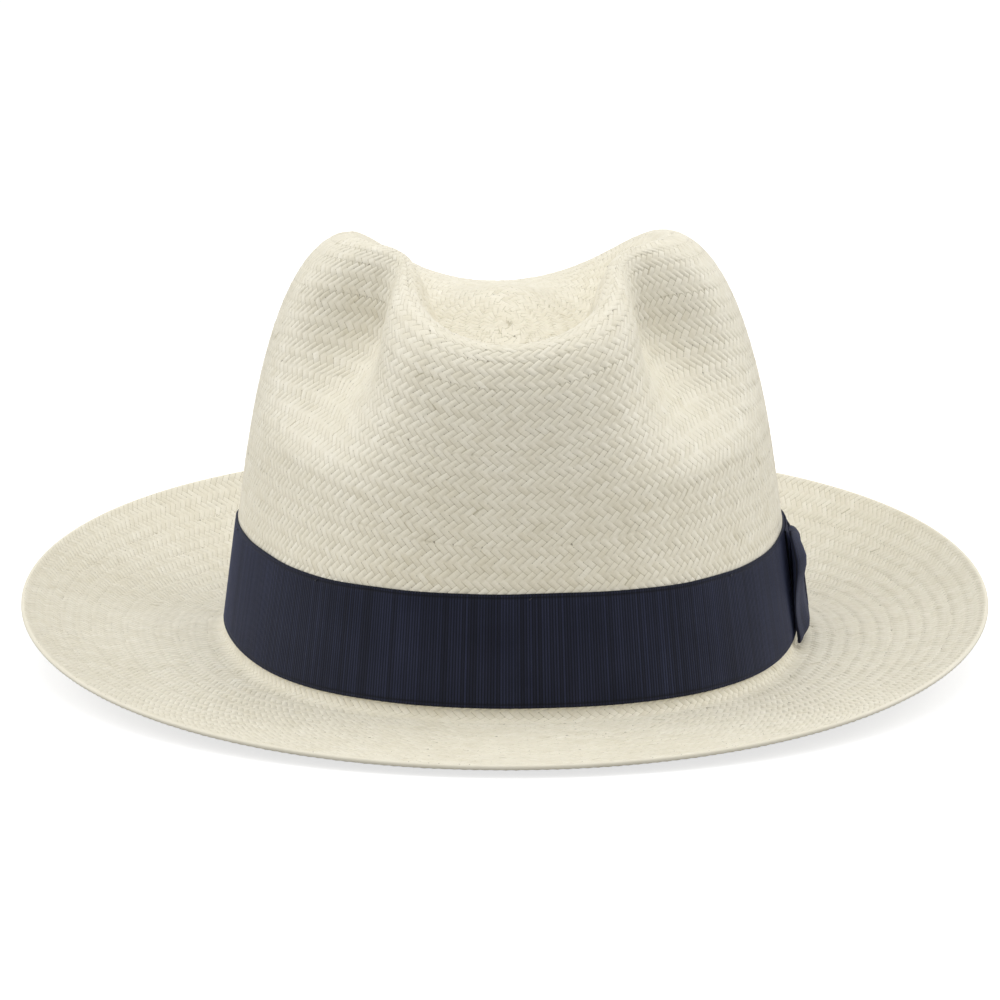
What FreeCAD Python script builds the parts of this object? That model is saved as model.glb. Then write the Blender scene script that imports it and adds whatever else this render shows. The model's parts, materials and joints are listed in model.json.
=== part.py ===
import FreeCAD, Part
import math
import os
from FreeCAD import Vector

# Straw fedora, size 57, in millimetres. The front is -Y, the wearer's left is +X and up is +Z.
# The origin is the centre of the head opening, at the height of the ribbon's lower edge in front.
# An angle goes round the hat from the front (0) through the wearer's left (90) to the back (180).

# Woven straw sheet
straw_thickness = 1.3
crown_half_length = 102.6      # outside of the straw at the ribbon's lower edge
crown_half_width = 84.3
crown_squareness = 2.09        # a plain oval is 2
side_lift = 5.2                # how much higher the ribbon's lower edge is at the sides
rim_half_length = 66.0         # the ridge round the dent
rim_half_width = 47.0
rim_height = 119.5
front_dip = 23.1               # how far the ridge drops at the front and at the back
front_dip_spread = 37.6
back_dip = 22.5
back_dip_spread = 42.0
nose_angle = -4.0              # the nose between the pinches is a little off centre
nose_spread = 25.0
nose_reach = 9.0               # how far the ridge is pushed forward there
nose_taper = 0.30
front_squareness = 9.0         # how much sharper the wall turns into the ridge in front
front_spread = 52.0
pinch_angle = 47.7             # the two finger pinches, on either side of the nose
pinch_spread = 19.8
pinch_rim_depth = 12.4
pinch_wall_share = 0.75        # how much of the wall's bulge the pinch takes away
pinch_start = 0.52             # where the pinch begins and is deepest, as parts of the wall's height
pinch_level = 0.85
wall_taper = 0.40
wall_squareness = 4.5
dent_floor_height = 82.5       # floor of the dent below the front ridge
dent_floor_slope = 0.14
dent_floor_front = -35.0
dent_floor_share = 0.50        # flat part of the dent
dent_cap_share = 0.06          # centre of the dent, closed with a flat patch
swell_height = 9.5             # the dent's floor swells up behind its centre
swell_half_width = 21.0
swell_half_length = 28.0
swell_back = 22.0
wall_spacing = 2.2             # closer grid rows towards the ridge
dent_spacing = 1.4

# Brim
fold = 3.0                     # size of the rounded fold between crown and brim
brim_half_length = 161.3
brim_half_width = 142.3
brim_shift = -1.7
brim_mean_height = 14.6
brim_back_rise = 15.1
brim_side_rise = 0.7
brim_left_rise = 1.5
brim_side_sag = 3.5
brim_curl = 2.2                # power of the brim's upward curve
snap_line = 110.0              # distance of the brim's bend line in front of the centre
snap_gap = 2.0

# Ribbon and bow
ribbon_start = 0.2             # lower edge, above the corner between wall and fold
ribbon_height = 30.8
ribbon_thickness = 0.7
layer_gap = 0.1                # air between two layers of cloth
bow_angle = 86.0
bow_half_length = 28.0
bow_stand = 5.8                # how far the front loop stands off the straw
bow_rear_share = 0.45          # how full the rear loop is beside the front one
bow_cloth = 0.6
bow_low = -0.9                 # edges of the loops, above the ribbon's lower edge
bow_high = 32.2
bow_drop = 5.0                 # how much lower the upper edge is at the rear end
bow_waist = 6.0                # how much the knot draws in each edge of the loops
bow_middle_share = 0.36        # how full the loops are under the knot
knot_width = 13.0
tail_front = 20.0              # how far the tail strip reaches in front of and behind the knot
tail_back = 36.0
tail_slant = 12.0              # its rear end is cut at a slant
tail_start = 0.6               # its lower edge, and how far its upper edge is below the ribbon's
tail_inset = 0.4
join_gap = 0.6                 # butt joint of the ribbon and of the sweatband
join_reach = 10.0

# Sweatband
leather_thickness = 0.9
leather_height = 35.0
leather_start = -0.9           # lower edges, above the ribbon's lower edge
leather_steps = 18             # close rows keep the leather clear of the tape at the bend of the wall
reed_radius = 0.8
reed_level = -2.6
tape_thickness = 0.3
tape_top = 5.0
tape_inner_top = 1.6
tape_lip = 0.6                 # the tape's bend round the leather's lower edge
tape_bulge = 0.35
tape_step = 0.37
seam_tape_width = 12.0
strip_reach = 15.0
small_bow_half_length = 9.0
small_bow_height = 9.0
small_bow_stand = 2.4
small_bow_waist = 1.5
small_bow_middle_share = 0.75
small_knot_width = 4.0
tag_angle = 158.0
tag_size = 22.0
tag_above = 6.0                # how far it reaches above the leather

# Stitches; the spreads are angles on each side of a joint or of the bow's centre
thread_radius = 0.22
tack_depth = 1.2               # below the ribbon's upper edge
tack_head = 0.3
tack_turn = 40
tack_free = 35.0               # no tacks this close to the bow
join_stitch_spread = 1.2
join_stitch_margin = 4.0
bow_stitch_spread = 3.0
bow_stitch_margin = 5.0
band_stitch_pitch = 3.0        # degrees
band_stitch_share = 0.7
band_stitch_shift = 0.15
band_stitch_drop = 0.8
hold_stitch_turn = 6
hold_stitch_drop = 2.0
seam_stitch_spread = 1.2
seam_stitch_climb = 1.6
seam_stitch_start = 6.0
seam_stitch_end = 4.0
seam_stitch_count = 7

tape_layer = straw_thickness + layer_gap                    # depths inside the straw's outer face
leather_layer = tape_layer + tape_thickness + layer_gap
leather_face = leather_layer + leather_thickness
cloth_layer = ribbon_thickness + 2.0 * layer_gap            # heights above the straw's outer face
knot_layer = cloth_layer + bow_cloth + layer_gap

AROUND = 72                    # steps round the hat
STEP = 360.0 / AROUND


def oval_radius(angle, half_length, half_width):
    sine = math.sin(math.radians(angle))
    cosine = math.cos(math.radians(angle))
    return 1.0 / math.hypot(sine / half_width, cosine / half_length)


def crown_radius(angle):
    """Outline of the crown at the ribbon's lower edge."""
    across = abs(math.sin(math.radians(angle))) / crown_half_width
    along = abs(math.cos(math.radians(angle))) / crown_half_length
    return (across ** crown_squareness + along ** crown_squareness) ** (-1.0 / crown_squareness)


def bump(angle, centre, spread):
    """1 at the centre angle, falling smoothly to 0."""
    away = (angle - centre + 180.0) % 360.0 - 180.0
    return math.exp(-(away / spread) ** 2)


def smooth(value):
    """Smooth step from 0 to 1."""
    held = min(max(value, 0.0), 1.0)
    return held * held * (3.0 - 2.0 * held)


def pinch(angle):
    left = bump(angle, nose_angle + pinch_angle, pinch_spread)
    right = bump(angle, nose_angle - pinch_angle, pinch_spread)
    return left + right


def nose(angle):
    return bump(angle, nose_angle, nose_spread)


def around(radius, angle, height):
    """Point at a distance from the hat's axis."""
    turn = math.radians(angle)
    return Vector(radius * math.sin(turn), -radius * math.cos(turn), height)


def crown_foot(angle):
    """Height of the ribbon's lower edge."""
    return side_lift * math.sin(math.radians(angle)) ** 6


def rim_radius(angle):
    oval = oval_radius(angle, rim_half_length, rim_half_width)
    return oval + nose_reach * nose(angle) - pinch_rim_depth * pinch(angle)


def rim_level(angle):
    front = front_dip * bump(angle, nose_angle, front_dip_spread)
    back = back_dip * bump(angle, 180.0, back_dip_spread)
    return rim_height - front - back


def wall_radius(angle, level):
    """Outside of the crown's wall; level is 0 at the ribbon's lower edge and 1 at the ridge."""
    rim = rim_radius(angle)
    foot = crown_radius(angle)
    taper = wall_taper + nose_taper * nose(angle)
    squareness = wall_squareness + front_squareness * bump(angle, nose_angle, front_spread)
    bulge = (1.0 - taper * level) * math.sqrt(1.0 - level ** squareness)
    depth = pinch_wall_share * smooth((level - pinch_start) / (pinch_level - pinch_start))
    return rim + (foot - rim) * bulge * (1.0 - pinch(angle) * depth)


def wall_point(angle, level):
    foot = crown_foot(angle)
    return around(wall_radius(angle, level), angle, foot + (rim_level(angle) - foot) * level)


def dent_point(angle, share):
    """Inside of the ridge; share is 1 at the ridge and 0 at the dent's centre."""
    flat = around(rim_radius(angle) * share, angle, 0.0)
    away = (flat.x / swell_half_width) ** 2 + ((flat.y - swell_back) / swell_half_length) ** 2
    floor = dent_floor_height + dent_floor_slope * (flat.y - dent_floor_front)
    floor += swell_height * math.exp(-away)
    climb = smooth((share - dent_floor_share) / (1.0 - dent_floor_share))
    return Vector(flat.x, flat.y, floor * (1.0 - climb) + rim_level(angle) * climb)


def brim_edge(angle):
    turn = math.radians(angle)
    height = brim_mean_height - brim_back_rise * math.cos(turn) - brim_side_rise * math.cos(2.0 * turn)
    edge = around(oval_radius(angle, brim_half_length, brim_half_width), angle, height)
    return edge + Vector(brim_shift, 0.0, brim_left_rise * math.sin(turn))


def brim_point(angle, share):
    """Top of the brim; share is 0 at the corner under the crown's wall and 1 at the edge."""
    foot = crown_radius(angle)
    inner = around(foot, angle, crown_foot(angle) - fold)
    outer = brim_edge(angle)
    sag = brim_side_sag * math.sin(math.radians(angle)) ** 2
    flat = inner + (outer - inner) * share
    rise = (outer.z - inner.z + sag) * share ** brim_curl - sag * share
    return Vector(flat.x, flat.y, inner.z + rise)


def fold_start(angle):
    """Share of the brim's width that the rounded fold takes up."""
    width = oval_radius(angle, brim_half_length, brim_half_width)
    return fold / (width - crown_radius(angle))


def fold_point(angle, share):
    """Rounded fold from the brim (0) to the crown's wall (1)."""
    start = brim_point(angle, fold_start(angle))
    corner = brim_point(angle, 0.0)
    finish = wall_point(angle, 0.0)
    return start * (1.0 - share) ** 2 + corner * (2.0 * share * (1.0 - share)) + finish * share ** 2


def ring(point):
    """Closed ring of points, starting and ending at the back seam."""
    points = [point(180.0 + STEP * count) for count in range(AROUND)]
    return points + [points[0]]


def sheet_rings():
    """Rings over the top of the straw, from the brim's edge to the middle of the dent."""
    brim_rows = 9
    fold_rows = 5
    wall_rows = 27
    dent_rows = 19
    rings = []
    for row in range(brim_rows):
        inward = row / brim_rows
        rings.append(ring(lambda angle: brim_point(angle, 1.0 - (1.0 - fold_start(angle)) * inward)))
    for row in range(fold_rows):
        rings.append(ring(lambda angle: fold_point(angle, row / fold_rows)))
    for row in range(wall_rows):
        level = 1.0 - (1.0 - row / wall_rows) ** wall_spacing
        rings.append(ring(lambda angle: wall_point(angle, level)))
    for row in range(dent_rows):
        share = 1.0 - (1.0 - dent_cap_share) * (row / (dent_rows - 1)) ** dent_spacing
        rings.append(ring(lambda angle: dent_point(angle, share)))
    return rings


def inset(rings, depth):
    """The same grid moved into the material, square to the surface."""
    moved = []
    last = len(rings) - 1
    for row, points in enumerate(rings):
        above = rings[min(row + 1, last)]
        below = rings[max(row - 1, 0)]
        line = []
        for count in range(AROUND):
            along = points[(count + 1) % AROUND] - points[count - 1 if count else AROUND - 1]
            across = above[count] - below[count]
            line.append(points[count] - along.cross(across).normalize() * depth)
        moved.append(line + [line[0]])
    return moved


def surface(rings):
    sheet = Part.BSplineSurface()
    sheet.interpolate(rings)
    return sheet.toShape()


def rims(face):
    """The two end edges of a face that runs all the way round."""
    return [edge for edge in face.Edges if edge.isClosed()]


def solid_of(faces):
    shell = Part.makeShell(faces)
    shell.sewShape()
    solid = Part.makeSolid(shell)
    if solid.Volume < 0.0:
        solid.reverse()
    return solid


def tube(outer_rings, inner_rings):
    """Solid between two grids of closed rings, closed by a strip at each end."""
    outer = surface(outer_rings)
    inner = surface(inner_rings)
    ends = [Part.makeRuledSurface(one, two) for one, two in zip(rims(outer), rims(inner))]
    return solid_of([outer, inner] + ends)


def straw_sheet():
    rings = sheet_rings()
    outer = surface(rings)
    inner = surface(inset(rings, straw_thickness))
    brim_strip = Part.makeRuledSurface(rims(outer)[0], rims(inner)[0])
    caps = [Part.makeFilledFace([rims(face)[1]]) for face in (outer, inner)]
    return solid_of([outer, inner, brim_strip] + caps)


def in_front_of(distance):
    """Block that holds everything farther forward than a distance from the centre."""
    reach = 2.0 * brim_half_length
    return Part.makeBox(2.0 * reach, reach, reach, Vector(-reach, -distance - reach, -reach / 2.0))


def side_point(angle, height, offset):
    """Point beside the crown's wall: a height above its foot and a level distance off the straw."""
    foot = crown_foot(angle)

    def radius_at(turned):
        level = max(height, 0.0) / (rim_level(turned) - crown_foot(turned))
        return wall_radius(turned, level)

    nudge = 0.1
    radius = radius_at(angle)
    change = (radius_at(angle + nudge) - radius_at(angle - nudge)) / math.radians(2.0 * nudge)
    turn = math.radians(angle)
    along = Vector(change * math.sin(turn) + radius * math.cos(turn),
                   radius * math.sin(turn) - change * math.cos(turn), 0.0).normalize()
    return around(radius, angle, foot + height) + Vector(along.y, -along.x, 0.0) * offset


def side_lines(path, thickness, closed=False):
    """The two sides of a strip whose middle line is a path of (offset, height) pairs."""
    lines = ([], [])
    last = len(path) - 1
    for count, (offset, height) in enumerate(path):
        if closed:
            before, after = path[count - 1], path[(count + 1) % len(path)]
        else:
            before, after = path[max(count - 1, 0)], path[min(count + 1, last)]
        run, climb = after[0] - before[0], after[1] - before[1]
        half = thickness / 2.0 / math.hypot(run, climb)
        lines[0].append((offset - climb * half, height + run * half))
        lines[1].append((offset + climb * half, height - run * half))
    return lines


def band(path, thickness):
    """Strip of cloth or leather that runs all the way round the crown's wall."""
    grids = []
    for line in side_lines(path, thickness):
        grids.append([ring(lambda angle: side_point(angle, height, offset)) for offset, height in line])
    return tube(grids[0], grids[1])


def upright(offset, low, high, steps=6):
    """Straight path up the wall at one distance from the straw."""
    return [(offset, low + (high - low) * count / steps) for count in range(steps + 1)]


def joint_box(angle, width, reach, low=-20.0, high=60.0):
    """Upright block that crosses the crown's wall at an angle."""
    radius = crown_radius(angle)
    block = Part.makeBox(width, 2.0 * reach, high - low, Vector(-width / 2.0, -radius - reach, low))
    block.rotate(Vector(0, 0, 0), Vector(0, 0, 1), angle)
    return block


def thread(start, finish):
    run = finish - start
    return Part.makeCylinder(thread_radius, run.Length, start, run)


def through(angle, height, low_offset, high_offset):
    """One thread that passes square through the wall's layers."""
    return thread(side_point(angle, height, low_offset), side_point(angle, height, high_offset))


def evenly(low, high, count):
    return [low + (high - low) * index / (count - 1) for index in range(count)]


def hat_ribbon():
    middle = layer_gap + ribbon_thickness / 2.0
    ribbon = band(upright(middle, ribbon_start, ribbon_height), ribbon_thickness)
    return ribbon.cut(joint_box(bow_angle, join_gap, join_reach))


def ribbon_tacks():
    height = ribbon_height - tack_depth
    places = [angle for angle in range(-160, 200, tack_turn) if abs(angle - bow_angle) > tack_free]
    return [through(angle, height, -straw_thickness / 2.0, ribbon_thickness + tack_head) for angle in places]


def ribbon_join_stitches():
    top = ribbon_thickness + layer_gap
    return [through(bow_angle + side, height, -straw_thickness / 2.0, top)
            for side in (-join_stitch_spread, join_stitch_spread)
            for height in evenly(join_stitch_margin, ribbon_height - join_stitch_margin, 6)]


def bow_place(centre, along, height, offset):
    """Point of a bow: a distance along the wall from its centre, a height and an offset."""
    return side_point(centre + math.degrees(along / crown_half_width), height, offset)


def loop_path(half_length, low, high, middle_share, rear_share):
    """Closed middle line of a pair of flat loops, seen from above, as (along, offset) pairs."""
    path = []
    steps = 48
    for count in range(steps):
        turn = math.radians(360.0 * count / steps)
        along = half_length * math.cos(turn)
        pull = 1.0 - (1.0 - middle_share) * math.exp(-(3.2 * along / half_length) ** 2)
        pull *= 1.0 - (1.0 - rear_share) * smooth(2.0 * along / half_length)
        swing = math.copysign(abs(math.sin(turn)) ** 0.6, math.sin(turn))
        path.append((along, low + (high - low) * pull * (1.0 + swing) / 2.0))
    return path


def wrap_path(low_height, high_height, low, high):
    """Closed middle line of a knot, seen from the end of the bow, as (height, offset) pairs."""
    radius = (high - low) / 2.0
    corners = []
    for centre, first in ((high_height, -90), (low_height, 90)):
        for degrees in range(first, first + 181, 15):
            turn = math.radians(degrees)
            corners.append((centre + radius * math.cos(turn), low + radius + radius * math.sin(turn)))
    return even_path(corners + corners[:1], radius * math.radians(15.0))[:-1]


def drawn_in(along, half_length, waist):
    """How far an edge of the loops is drawn in, at a distance from the bow's centre."""
    return waist * smooth(1.0 - abs(along) / half_length)


def loops(centre, path, half_length, low_height, high_height, waist, drop, side):
    """Pair of loops; side is 1 outside the crown and -1 inside it."""
    grids = []
    for line in side_lines(path, bow_cloth, closed=True):
        rows = []
        for share in evenly(0.0, 1.0, 5):
            row = []
            for along, offset in line:
                narrower = drawn_in(along, half_length, waist)
                low = low_height + narrower
                high = high_height - narrower - drop * smooth(0.5 + 0.5 * along / half_length)
                row.append(bow_place(centre, along, low + share * (high - low), side * offset))
            rows.append(row + [row[0]])
        grids.append(rows)
    return tube(grids[0], grids[1])


def knot(centre, path, width, side):
    grids = []
    for line in side_lines(path, bow_cloth, closed=True):
        rows = [[bow_place(centre, along, height, side * offset) for height, offset in line]
                for along in evenly(-width / 2.0, width / 2.0, 3)]
        grids.append([row + [row[0]] for row in rows])
    return tube(grids[0], grids[1])


def bow_parts():
    half = bow_cloth / 2.0
    low = knot_layer + bow_cloth + layer_gap + half
    path = loop_path(bow_half_length, low, bow_stand - half, bow_middle_share, bow_rear_share)
    middle_top = max(offset for along, offset in path if abs(along) < knot_width) + half
    waist = drawn_in(knot_width / 2.0, bow_half_length, bow_waist)
    high = bow_high - waist - bow_drop / 2.0
    wrap = wrap_path(bow_low + waist, high, knot_layer + half, middle_top + 3.0 * layer_gap + half)
    pair = loops(bow_angle, path, bow_half_length, bow_low, bow_high, bow_waist, bow_drop, 1.0)
    return pair, knot(bow_angle, wrap, knot_width, 1.0)


def bow_tail():
    middle = cloth_layer + bow_cloth / 2.0
    strip = band(upright(middle, tail_start, ribbon_height - tail_inset), bow_cloth)
    foot = side_point(bow_angle, 0.0, 0.0)
    low, high = foot.z - join_reach, foot.z + ribbon_height + join_reach
    corners = [Vector(0.0, foot.y - tail_front, low), Vector(0.0, foot.y + tail_back - tail_slant, low),
               Vector(0.0, foot.y + tail_back, high), Vector(0.0, foot.y - tail_front, high)]
    outline = Part.Face(Part.makePolygon(corners + corners[:1]))
    return strip.common(outline.extrude(Vector(2.0 * crown_half_width, 0.0, 0.0)))


def bow_stitches():
    return [through(bow_angle + side, height, -straw_thickness / 2.0, knot_layer + bow_cloth)
            for side in (-bow_stitch_spread, bow_stitch_spread)
            for height in evenly(bow_stitch_margin, ribbon_height - bow_stitch_margin, 3)]


def sweatband():
    middle = -(leather_layer + leather_thickness / 2.0)
    path = upright(middle, leather_start, leather_start + leather_height, leather_steps)
    leather = band(path, leather_thickness)
    return leather.cut(joint_box(180.0, join_gap, join_reach))


def reed_centre():
    """Depth of the reed's centre inside the straw's outer face."""
    return tape_layer + tape_thickness + layer_gap + reed_radius


def sweatband_reed():
    """Cord in the sweatband's lower edge; its two ends almost meet at the back."""
    points = [side_point(angle, reed_level, -reed_centre()) for angle in evenly(180.3, 539.7, AROUND + 1)]
    curve = Part.BSplineCurve()
    curve.interpolate(points)
    wire = Part.Wire([curve.toShape()])
    section = Part.Wire([Part.makeCircle(reed_radius, points[0], points[1] - points[0])])
    return wire.makePipeShell([section], True, False)


def even_path(path, step):
    """The same path with its points a nearly equal step apart."""
    points = [path[0]]
    for start, finish in zip(path, path[1:]):
        parts = max(1, round(math.dist(start, finish) / step))
        for count in range(1, parts + 1):
            share = count / parts
            points.append(tuple(one + (two - one) * share for one, two in zip(start, finish)))
    return points


def reed_tape():
    """Tape down the outside of the leather, round the reed and a little way up the inside."""
    outside = -(tape_layer + tape_thickness / 2.0)
    inside = -(leather_face + layer_gap + tape_thickness / 2.0)
    bend = reed_radius + layer_gap + tape_thickness / 2.0
    path = [(outside, tape_top)]
    for degrees in range(0, 181, 20):
        turn = math.radians(degrees)
        path.append((-reed_centre() + bend * math.cos(turn), reed_level - bend * math.sin(turn)))
    path += [(inside - tape_bulge, leather_start - tape_lip), (inside, leather_start + tape_lip),
             (inside, tape_inner_top)]
    return band(even_path(path, tape_step), tape_thickness)


def sweatband_stitching():
    """Row of machine stitches through the tape's inner edge and the leather."""
    face = -(leather_face + layer_gap + tape_thickness + thread_radius)
    height = tape_inner_top - band_stitch_drop
    stitches = []
    for count in range(int(360.0 / band_stitch_pitch)):
        start = 180.0 + band_stitch_pitch * (count + band_stitch_shift)
        finish = start + band_stitch_share * band_stitch_pitch
        stitches.append(thread(side_point(start, height, face), side_point(finish, height, face)))
    return stitches


def attachment_stitching():
    """Threads that hold the reed tape to the straw behind the ribbon."""
    height = tape_top - hold_stitch_drop
    return [through(angle, height, -(tape_layer + tape_thickness), -straw_thickness / 2.0)
            for angle in range(0, 360, hold_stitch_turn)]


def back_seam_tape():
    middle = -(tape_layer + tape_thickness / 2.0)
    strip = band(upright(middle, tape_top + 1.0, leather_start + leather_height - 1.0), tape_thickness)
    return strip.common(joint_box(180.0, seam_tape_width, strip_reach))


def back_seam_stitches():
    """Crossing stitches over the sweatband's butt joint."""
    face = -(leather_face + thread_radius)
    stitches = []
    first = small_bow_height + seam_stitch_start
    for height in evenly(first, leather_height - seam_stitch_end, seam_stitch_count):
        low = side_point(180.0 - seam_stitch_spread, height, face)
        high = side_point(180.0 + seam_stitch_spread, height + seam_stitch_climb, face)
        stitches.append(thread(low, high))
    return stitches


def sweatband_bow_parts():
    half = bow_cloth / 2.0
    low_height = tape_inner_top + 1.0
    high_height = low_height + small_bow_height
    inner = leather_face + layer_gap + half
    low = inner + bow_cloth + layer_gap
    path = loop_path(small_bow_half_length, low, leather_face + small_bow_stand,
                     small_bow_middle_share, 1.0)
    middle_top = max(offset for along, offset in path if abs(along) < small_knot_width) + half
    waist = drawn_in(small_knot_width / 2.0, small_bow_half_length, small_bow_waist)
    wrap = wrap_path(low_height + waist, high_height - waist, inner, middle_top + layer_gap + half)
    pair = loops(180.0, path, small_bow_half_length, low_height, high_height, small_bow_waist, 0.0, -1.0)
    return pair, knot(180.0, wrap, small_knot_width, -1.0)


def size_tag():
    middle = -(tape_layer + tape_thickness / 2.0)
    top = leather_start + leather_height + tag_above
    strip = band(upright(middle, top - tag_size, top), tape_thickness)
    return strip.common(joint_box(tag_angle, tag_size, strip_reach))


def main():
    sheet = straw_sheet()
    loop_pair, knot_wrap = bow_parts()
    small_loops, small_knot = sweatband_bow_parts()
    nodes = {
        "woven_body": sheet.cut(in_front_of(snap_line - snap_gap / 2.0)),
        "front_brim": sheet.common(in_front_of(snap_line + snap_gap / 2.0)),
        "hat_ribbon": hat_ribbon(),
        "ribbon_tacks": Part.makeCompound(ribbon_tacks()),
        "ribbon_join_stitches": Part.makeCompound(ribbon_join_stitches()),
        "bow_loops": loop_pair,
        "bow_knot": knot_wrap,
        "bow_tail": bow_tail(),
        "bow_stitches": Part.makeCompound(bow_stitches()),
        "sweatband": sweatband(),
        "sweatband_reed": sweatband_reed(),
        "reed_tape": reed_tape(),
        "sweatband_stitching": Part.makeCompound(sweatband_stitching()),
        "attachment_stitching": Part.makeCompound(attachment_stitching()),
        "back_seam_tape": back_seam_tape(),
        "back_seam_stitches": Part.makeCompound(back_seam_stitches()),
        "sweatband_bow_loops": small_loops,
        "sweatband_bow_knot": small_knot,
        "size_tag": size_tag(),
    }
    os.makedirs("parts", exist_ok=True)
    for name, shape in nodes.items():
        shape.exportStep(f"parts/{name}.step")
        box = shape.BoundBox
        print(f"{name}: {len(shape.Solids)} solids, valid {shape.isValid()}, {shape.Volume:.0f} mm3,"
              f" z {box.ZMin:.1f} to {box.ZMax:.1f}, size {box.XLength:.1f} x {box.YLength:.1f}")


main()
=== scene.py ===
import json
import math

import bpy
import numpy as np
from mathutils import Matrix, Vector

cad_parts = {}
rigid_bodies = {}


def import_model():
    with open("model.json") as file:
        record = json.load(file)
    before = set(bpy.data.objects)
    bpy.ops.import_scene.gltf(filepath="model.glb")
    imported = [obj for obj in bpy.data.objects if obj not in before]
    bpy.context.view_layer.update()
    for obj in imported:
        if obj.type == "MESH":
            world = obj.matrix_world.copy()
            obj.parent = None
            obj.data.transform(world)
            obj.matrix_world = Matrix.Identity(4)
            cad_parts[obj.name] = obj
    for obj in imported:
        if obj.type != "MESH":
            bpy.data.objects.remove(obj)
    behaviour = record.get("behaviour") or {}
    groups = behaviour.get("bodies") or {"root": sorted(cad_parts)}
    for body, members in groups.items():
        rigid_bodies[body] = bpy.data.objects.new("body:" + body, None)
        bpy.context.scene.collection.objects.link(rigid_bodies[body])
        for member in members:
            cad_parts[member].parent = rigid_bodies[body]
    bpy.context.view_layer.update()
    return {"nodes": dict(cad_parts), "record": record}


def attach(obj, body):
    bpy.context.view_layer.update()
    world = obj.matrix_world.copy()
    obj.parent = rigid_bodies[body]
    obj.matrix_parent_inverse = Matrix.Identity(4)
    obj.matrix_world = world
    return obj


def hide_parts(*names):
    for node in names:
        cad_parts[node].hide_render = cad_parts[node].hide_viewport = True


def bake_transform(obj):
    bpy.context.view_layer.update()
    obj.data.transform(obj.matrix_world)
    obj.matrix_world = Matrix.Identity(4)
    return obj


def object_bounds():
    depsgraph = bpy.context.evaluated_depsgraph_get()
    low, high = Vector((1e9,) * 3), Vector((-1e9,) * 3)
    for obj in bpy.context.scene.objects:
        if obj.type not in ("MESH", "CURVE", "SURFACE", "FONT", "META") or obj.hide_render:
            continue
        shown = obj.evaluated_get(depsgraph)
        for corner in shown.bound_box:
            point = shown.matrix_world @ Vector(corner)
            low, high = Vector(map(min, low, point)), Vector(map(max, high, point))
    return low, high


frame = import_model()

# The straw hat's looks. The geometry is worked out in millimetres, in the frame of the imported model:
# the front is -Y, the wearer's left is +X and up is +Z. Angles run from the front (0) through the
# wearer's left (pi/2) to the back (pi).
MM = 0.001
HAT = frame["record"]["behaviour"]["joints"][0]["parent"]
random_numbers = np.random.default_rng(57)

# Straw sheet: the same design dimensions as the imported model
straw_thickness = 1.3
crown_half_length = 102.6
crown_half_width = 84.3
crown_squareness = 2.09
side_lift = 5.2
rim_half_length = 66.0
rim_half_width = 47.0
rim_height = 119.5
front_dip, front_dip_spread = 23.1, 37.6
back_dip, back_dip_spread = 22.5, 42.0
nose_angle, nose_spread = -4.0, 25.0
nose_reach = 9.0
nose_taper = 0.30
front_squareness, front_spread = 9.0, 52.0
pinch_angle, pinch_spread = 47.7, 19.8
pinch_rim_depth = 12.4
pinch_wall_share = 0.75
pinch_start, pinch_level = 0.52, 0.85
wall_taper = 0.40
wall_squareness = 4.5
dent_floor_height = 82.5
dent_floor_slope = 0.14
dent_floor_front = -35.0
dent_floor_share = 0.50
swell_height = 9.5
swell_half_width = 21.0
swell_half_length = 28.0
swell_back = 22.0
dent_centre_share = 0.02
wall_spacing = 2.2             # rows of the wall lie closer together towards the ridge
sheet_end = 4.0                # travel along the sheet at the dent's centre
fold = 3.0
brim_half_length = 161.3
brim_half_width = 142.3
brim_shift = -1.7
brim_mean_height = 14.6
brim_back_rise = 15.1
brim_side_rise = 0.7
brim_left_rise = 1.5
brim_side_sag = 3.5
brim_curl = 2.2

# Weave
float_pitch = 2.45             # width of one slanted float along its row, and height of a row
float_edge = 0.10              # rounded part of a float at each side, as a share of its width
relief = 0.14                  # how far a float stands proud of the sheet
float_end_height = 0.35        # height of a float's ends, as a share of its middle
float_lift_spread = 0.15       # random height and tilt of the floats
float_tilt_spread = 0.6
float_roundness = 0.5
least_floats = 6               # floats round the smallest rows
fine_lines, coarse_lines = 3, 2               # grid lines per strand, on the top and on the underside
rows_before, spare_rows = 3, 8                # random rows kept for floats that start outside their zone
lip_angles = 10.0, 50.0, 90.0, 130.0, 170.0   # rings of the rounded brim edge
hole_tone = 0.8                # a float this light leaves a small hole beside it
zone_slack = 0.06              # how far the floats' width may drift before their number changes
straw_split = 2.04             # where crown and brim pieces meet, out of sight under the ribbon
underside_tint = 0.8           # values of the plain end faces
bake_width = 0.985             # part of the texture square that goes round the hat
bake_top, bake_top_height = 0.02, 0.56        # bands of the texture square for the faces of the straw
bake_under, bake_under_height = 0.62, 0.36
bake_edge = 0.005
bake_front, bake_back, bake_height = 0.01, 0.51, 0.48    # and for the two faces of a strip

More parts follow.
